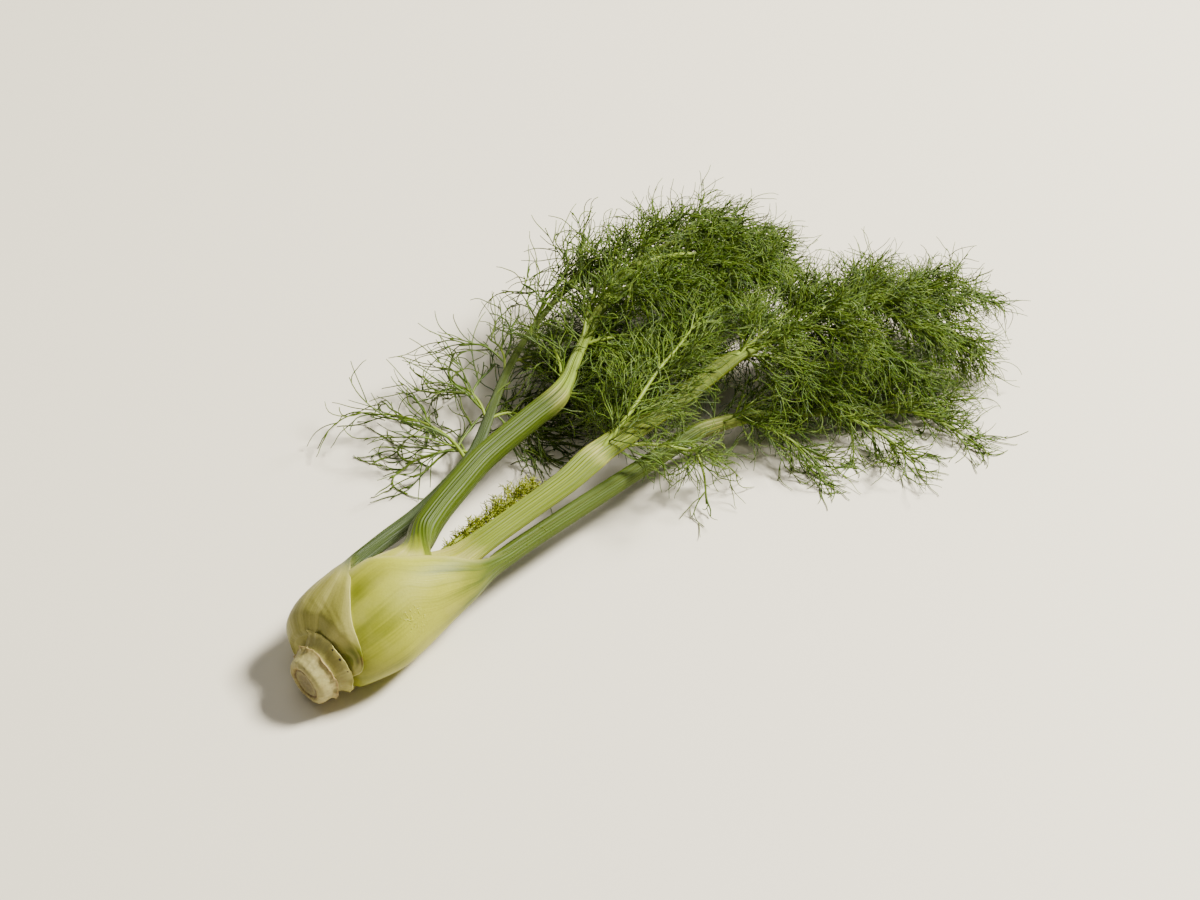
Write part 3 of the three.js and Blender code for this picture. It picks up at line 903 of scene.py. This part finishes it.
def root_material(colours):
    """The root's skin: rings of dried core, brown rims and pale flesh along its profile, with woody lines
    over them, brown flecks, and a row of small dark pits on the rim at the bulb."""
    flesh, brown, core, cream = colours.flesh, colours.brown, colours.core, colours.cream
    green = mix(flesh, colours.outer, 0.6)
    paint = Paint("root skin")
    u, v = paint.grain()
    spot = paint.place()
    rough = paint.noise(spot, 260, 4)
    wide = paint.noise(spot, 90, 3)
    stops = [
        (0, core), (4.6, core), (5.8, mix(core, flesh, 0.45)), (6.9, core), (8, 0.55 * brown),
        (9, mix(brown, flesh, 0.55)), (10.6, flesh), (17.5, flesh), (19.4, mix(flesh, brown, 0.3)),
        (20.3, mix(flesh, brown, 0.75)), (20.9, mix(flesh, brown, 0.6)), (21.6, mix(flesh, brown, 0.2)),
        (22.6, green), (28.6, green), (30.2, cream), (31.4, cream), (33, mix(flesh, brown, 0.3)),
    ]
    at = v * ROOT_LENGTH + (rough - 0.5) * 2.2
    colour = paint.ramp(at / ROOT_LENGTH, *[(s / ROOT_LENGTH, tint) for s, tint in stops])
    lines = paint.noise(paint.vector(u * 60, v * 4), 1, 2)
    colour = paint.blend(paint.ease(lines, 0.5, 0.75, 0.0, 0.35), colour, cream)
    colour = paint.blend(paint.ease(lines, 0.5, 0.25, 0.0, 0.4), colour, 0.55 * green)
    colour = paint.blend(paint.ease(wide, 0.45, 0.7, 0.0, 0.2), colour, cream)
    colour = paint.blend(paint.ease(rough, 0.56, 0.8, 0.0, 0.5), colour, brown)
    pits = 0
    for angle, radius in ROOT_PITS:
        y, z = 1.6 + 18 * math.cos(angle * DEGREE), 18.8 + 16.2 * math.sin(angle * DEGREE)
        pits = pits + paint.near(spot, -36.4, y, z, radius * 0.4, radius)
    colour = paint.blend(pits, colour, (0.05, 0.035, 0.015))
    height = rough * 0.6 + wide * 0.4 - pits
    sockets = flesh_sockets(0.1, (0.8, 0.6, 0.3), 0.002)
    return paint.finish(colour, 0.62 + (rough - 0.5) * 0.2, height, 0.0007, **sockets)


def shoot_material(colours):
    """The young threads: pale at the middle line, dark where they leave it and bright at their tips."""
    paint = Paint("young threads")
    u, v = paint.grain("OFBake")
    young = colours.young
    colour = paint.ramp(u, (0.0, mix(young, colours.pale_stalk, 0.5)), (0.35, 0.55 * young), (1.0, young))
    colour = paint.blend(paint.ease(v, 0.3, 1.0, 0.0, 0.5), colour, (0.42, 0.44, 0.03))
    return paint.finish(colour, 0.5, **flesh_sockets(0.2, (0.6, 0.8, 0.1), 0.001))


def thread_material(colours):
    """The leaf threads: the rib's colour on ribs, darker inside a leaflet than at its tips, and from one
    thread to the next some brighter and some darker."""
    paint = Paint("leaf threads")
    u, v = paint.grain("OFBake")
    rib, thread = colours.rib, colours.thread
    colour = paint.ramp(
        u,
        (0.0, rib),
        (0.14, rib),
        (0.21, mix(rib, thread, 0.7)),
        (0.34, thread * 1.25),
        (0.62, thread * 0.8),
        (1.0, thread * 1.15),
    )
    colour = paint.blend(paint.ease(v, 0.35, 1.0, 0.0, 0.6), colour, thread * [2.3, 1.9, 2.2])
    colour = paint.blend(paint.ease(v, 0.0, 0.25, 0.5, 0.0), colour, thread * [0.5, 0.6, 0.6])
    sockets = flesh_sockets(0.08, (0.4, 0.8, 0.1), 0.001)
    return paint.finish(colour, 0.46, **{"Specular IOR Level": 0.25}, **sockets)


def leaf_skins(colours):
    """What leaf_material makes each leaf's skin from."""
    outer, cream, sheath, streak = colours.outer, colours.cream, colours.sheath, colours.streak
    stalk, dark, pale, rib = colours.stalk, colours.dark_stalk, colours.pale_stalk, 0.7 * colours.rib
    # olive tone that also carries painted shade, cast by the outer leaf's margin onto the front leaf's root
    # end
    olive_and_margin_shade = mix(sheath, streak, 0.75)
    return {
        "outer_leaf": dict(
            ground=[
                (-45, outer), (-14, outer), (0, mix(outer, dark, 0.7)), (8, dark), (125, dark), (240, rib),
            ],
            streaks=[
                (-45, mix(outer, cream, 0.9)), (-14, mix(outer, cream, 0.75)), (0, dark), (16, dark * 0.7),
                (125, dark * 0.8), (240, rib * 0.8),
            ],
            edge_amount=0.5,
            roughness=0.45,
            spots=[
                (-32, -16.4, 32.4, 11, (0.12, 0.135, 0.005)),
                (-30.4, -19.6, 31.8, 4, (0.1, 0.06, 0.01)),
                (-38, 8, 36, 3, (0.2, 0.12, 0.03)),
            ],
        ),
        "front_leaf": dict(
            # toward the root end the ground is partly the sheath's own olive and partly painted shade of the
            # outer leaf's margin lying over it
            ground=[
                (-45, cream), (-33, mix(sheath, olive_and_margin_shade, 0.8)), (-16, mix(sheath, olive_and_margin_shade, 0.6)),
                (4, mix(sheath, olive_and_margin_shade, 0.15)), (14, sheath), (24, mix(sheath, stalk, 0.1)),
                (38, mix(sheath, stalk, 0.6)), (50, stalk), (200, stalk), (215, mix(stalk, cream, 0.35)),
                (235, rib * 1.4), (330, rib),
            ],
            streaks=[
                (-45, cream), (-32, streak), (-12, streak), (6, sheath * 0.8), (14, mix(sheath, stalk, 0.3)),
                (24, mix(sheath, stalk, 0.7)), (34, stalk), (56, stalk * 0.72), (205, stalk * 0.72),
                (330, rib),
            ],
            edge_amount=0.5,
            roughness=0.5,
            wet=[(0, -23, 39.5, 10), (68, -20, 33, 9), (80, -19, 31, 9), (92, -19, 30, 8)],
        ),
        "left_leaf": dict(
            ground=[
                (-45, sheath), (22, cream), (29, mix(sheath, stalk, 0.5)), (38, stalk), (145, stalk),
                (157, mix(stalk, cream, 0.45)), (166, rib * 1.5), (220, rib * 1.3), (330, rib),
            ],
            streaks=[
                (-45, sheath), (20, sheath), (32, stalk), (50, stalk * 0.75), (150, stalk * 0.75), (170, rib),
                (330, rib),
            ],
            edge_amount=0.3,
            roughness=0.45,
        ),
        "middle_leaf": dict(
            ground=[
                (-45, sheath), (40, cream), (56, pale), (130, pale), (137, mix(pale, cream, 0.6)),
                (143, pale), (190, pale), (210, pale * 0.75), (236, pale * 0.7), (250, rib * 1.2), (380, rib),
            ],
            streaks=[
                (-45, sheath), (40, sheath), (60, pale * 0.75), (129, stalk), (137, pale), (144, stalk),
                (240, stalk * 0.8), (380, rib),
            ],
            edge_amount=0.3,
            roughness=0.45,
        ),
    }


class FennelSizes(bpy.types.PropertyGroup):
    """Sizes that can be changed without changing the plant's layout."""

    thread: FloatProperty(
        name="Thread radius",
        description="Radius of a leaf thread",
        default=0.0003,
        subtype="DISTANCE",
        unit="LENGTH",
    )
    density: FloatProperty(name="Thread density", description="How closely the threads fork", default=1.0)
    ribs: IntProperty(name="Ribs", description="Ribs on the outer face of a stalk", default=13)
    seed: IntProperty(name="Seed", description="Start of the random numbers", default=7)


def colour_property(name, description, default):
    """A colour that the panel shows."""
    return FloatVectorProperty(
        name=name, description=description, default=default, subtype="COLOR", size=3, min=0, max=1
    )


class FennelColours(bpy.types.PropertyGroup):
    """Colours of the plant and the table, in linear light."""

    sheath: colour_property("Sheath", "Smooth front of the bulb", (0.36, 0.365, 0.026))
    streak: colour_property("Streak", "Olive streaks on the bulb", (0.135, 0.15, 0.003))
    outer: colour_property("Outer sheath", "Grey-green outer sheath", (0.25, 0.235, 0.042))
    cream: colour_property("Margin", "Pale margins and creases", (0.45, 0.415, 0.11))
    stalk: colour_property("Stalk", "Green stalks", (0.058, 0.09, 0.0015))
    pale_stalk: colour_property("Pale stalk", "Inner face of the middle stalk", (0.15, 0.19, 0.006))
    dark_stalk: colour_property("Dark stalk", "Stalk of the outer leaf", (0.042, 0.064, 0.01))
    rib: colour_property("Rib", "Ribs of the leaflets where they leave the stalk", (0.23, 0.31, 0.03))
    thread: colour_property("Thread", "Leaf threads", (0.064, 0.108, 0.0075))
    young: colour_property("Young thread", "Threads of the young shoot", (0.23, 0.265, 0.002))
    flesh: colour_property("Root", "Root stub", (0.34, 0.295, 0.1))
    brown: colour_property("Cut edge", "Dried edges of the root", (0.24, 0.14, 0.04))
    core: colour_property("Core", "Middle of the cut root", (0.18, 0.145, 0.065))
    table: colour_property("Table", "Surface that it lies on", (0.79, 0.725, 0.56))


def chosen():
    """The scene's sizes, and its colours as arrays."""
    scene = bpy.context.scene
    colours = {key: np.array(getattr(scene.fennel_colours, key)) for key in FennelColours.__annotations__}
    return scene.fennel_sizes, SimpleNamespace(**colours)


def dress(made, material, node):
    """Gives a finished piece its material and body, and hides its CAD node."""
    made.data.materials.append(material)
    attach(made, "root")
    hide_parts(node)


class FENNEL_OT_root(bpy.types.Operator):
    """Grow the trimmed root stub with its two cut-off leaf bases"""

    bl_idname = "fennel.root"
    bl_label = "Root"

    def execute(self, context):
        _, colours = chosen()
        dress(root_object("root_stub"), root_material(colours), "root_base")
        return {"FINISHED"}


class FENNEL_OT_leaves(bpy.types.Operator):
    """Grow the four leaves, each from its sheath on the bulb to the end of its rib"""

    bl_idname = "fennel.leaves"
    bl_label = "Leaves"

    def execute(self, context):
        sizes, colours = chosen()
        skins = leaf_skins(colours)
        for k, (name, leaf) in enumerate(LEAVES.items()):
            made = leaf_object(name + "_skin", leaf, sizes.ribs, sizes.seed + 10 * k)
            title = name.replace("_", " ") + " skin"
            skin = leaf_material(title, leaf["closes"], margin=colours.cream, **skins[name])
            dress(made, skin, name)
        return {"FINISHED"}


class FENNEL_OT_shoot(bpy.types.Operator):
    """Grow the young shoot, a curl of short bright threads between the stalks"""

    bl_idname = "fennel.shoot"
    bl_label = "Young shoot"

    def execute(self, context):
        sizes, colours = chosen()
        made = shoot_object("young_shoot_threads", np.random.default_rng(sizes.seed), sizes)
        dress(made, shoot_material(colours), "young_shoot")
        return {"FINISHED"}


class FENNEL_OT_leaflets(bpy.types.Operator):
    """Grow the feathery leaflets along the ribs of the leaves"""

    bl_idname = "fennel.leaflets"
    bl_label = "Leaflets"

    def execute(self, context):
        sizes, colours = chosen()
        skin = thread_material(colours)
        for k, (name, rows) in enumerate(LEAFLETS.items()):
            for j, row in enumerate(rows):
                node = name.replace("leaf", "leaflet_") + str(j + 1)
                rng = np.random.default_rng([sizes.seed, k, j])
                made = leaflet_object(node + "_threads", LEAVES[name], row, rng, sizes, *THREADS[name])
                dress(made, skin, node)
        return {"FINISHED"}


class FENNEL_OT_stage(bpy.types.Operator):
    """Lay the table, hang the soft lights and set the camera"""

    bl_idname = "fennel.stage"
    bl_label = "Stage"

    def execute(self, context):
        _, colours = chosen()
        scene = context.scene
        mesh = bpy.data.meshes.new("table")
        half, top = 3, -0.0002
        corners = [(-half, -half, top), (half, -half, top), (half, half, top), (-half, half, top)]
        mesh.from_pydata(corners, [], [(0, 1, 2, 3)])
        table = bpy.data.objects.new("table", mesh)
        scene.collection.objects.link(table)
        paint = Paint("table top")
        faint = paint.blend(paint.noise(paint.place(), 3, 2), colours.table, 0.97 * colours.table)
        table.data.materials.append(paint.finish(faint, 0.6))
        table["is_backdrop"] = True

        world = bpy.data.worlds.new("room")
        scene.world = world
        world.use_nodes = True
        background = world.node_tree.nodes["Background"]
        background.inputs["Color"].default_value = ROOM_COLOUR
        background.inputs["Strength"].default_value = ROOM_STRENGTH

        for name, (place, size, power) in LAMPS.items():
            data = bpy.data.lights.new(name, "AREA")
            data.shape, data.size, data.energy = "SQUARE", size, power
            data.color = LAMP_COLOUR
            lamp = bpy.data.objects.new(name, data)
            lamp.location = place
            aim(lamp, LAMP_TARGET)
            scene.collection.objects.link(lamp)

        data = bpy.data.cameras.new("camera")
        data.lens, data.sensor_width = CAMERA_LENS, CAMERA_SENSOR
        camera = bpy.data.objects.new("camera", data)
        camera.location = CAMERA_PLACE
        aim(camera, CAMERA_TARGET)
        scene.collection.objects.link(camera)
        scene.camera = camera
        return {"FINISHED"}


def aim(made, target):
    """Turns a lamp or camera so that it looks from its place at the target, with its top up."""
    away = unit(np.array(made.location) - np.array(target, float))
    right = unit(np.cross([0, 0, 1], away))
    made.rotation_euler = (math.acos(away[2]), 0, math.atan2(right[1], right[0]))


class FENNEL_PT_panel(bpy.types.Panel):
    """Sizes, colours and the steps that grow the plant"""

    bl_label = "Fennel bulb"
    bl_idname = "FENNEL_PT_panel"
    bl_space_type = "VIEW_3D"
    bl_region_type = "UI"
    bl_category = "Fennel"

    def draw(self, context):
        layout = self.layout
        for group in (context.scene.fennel_sizes, context.scene.fennel_colours):
            for key in type(group).__annotations__:
                layout.prop(group, key)
        for step in STEPS:
            layout.operator(step.bl_idname)


STEPS = (FENNEL_OT_stage, FENNEL_OT_root, FENNEL_OT_leaves, FENNEL_OT_shoot, FENNEL_OT_leaflets)
CLASSES = (FennelSizes, FennelColours, *STEPS, FENNEL_PT_panel)


def register():
    for each in CLASSES:
        bpy.utils.register_class(each)
    bpy.types.Scene.fennel_sizes = PointerProperty(type=FennelSizes)
    bpy.types.Scene.fennel_colours = PointerProperty(type=FennelColours)


def unregister():
    del bpy.types.Scene.fennel_colours
    del bpy.types.Scene.fennel_sizes
    for each in reversed(CLASSES):
        bpy.utils.unregister_class(each)


def main():
    register()
    bpy.ops.fennel.stage()
    bpy.ops.fennel.root()
    bpy.ops.fennel.leaves()
    bpy.ops.fennel.shoot()
    bpy.ops.fennel.leaflets()
    boxes = {"cad": CAD_BOX, "visual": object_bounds()}
    boxes = {name: [list(corner) for corner in box] for name, box in boxes.items()}


if __name__ == "__main__":
    main()
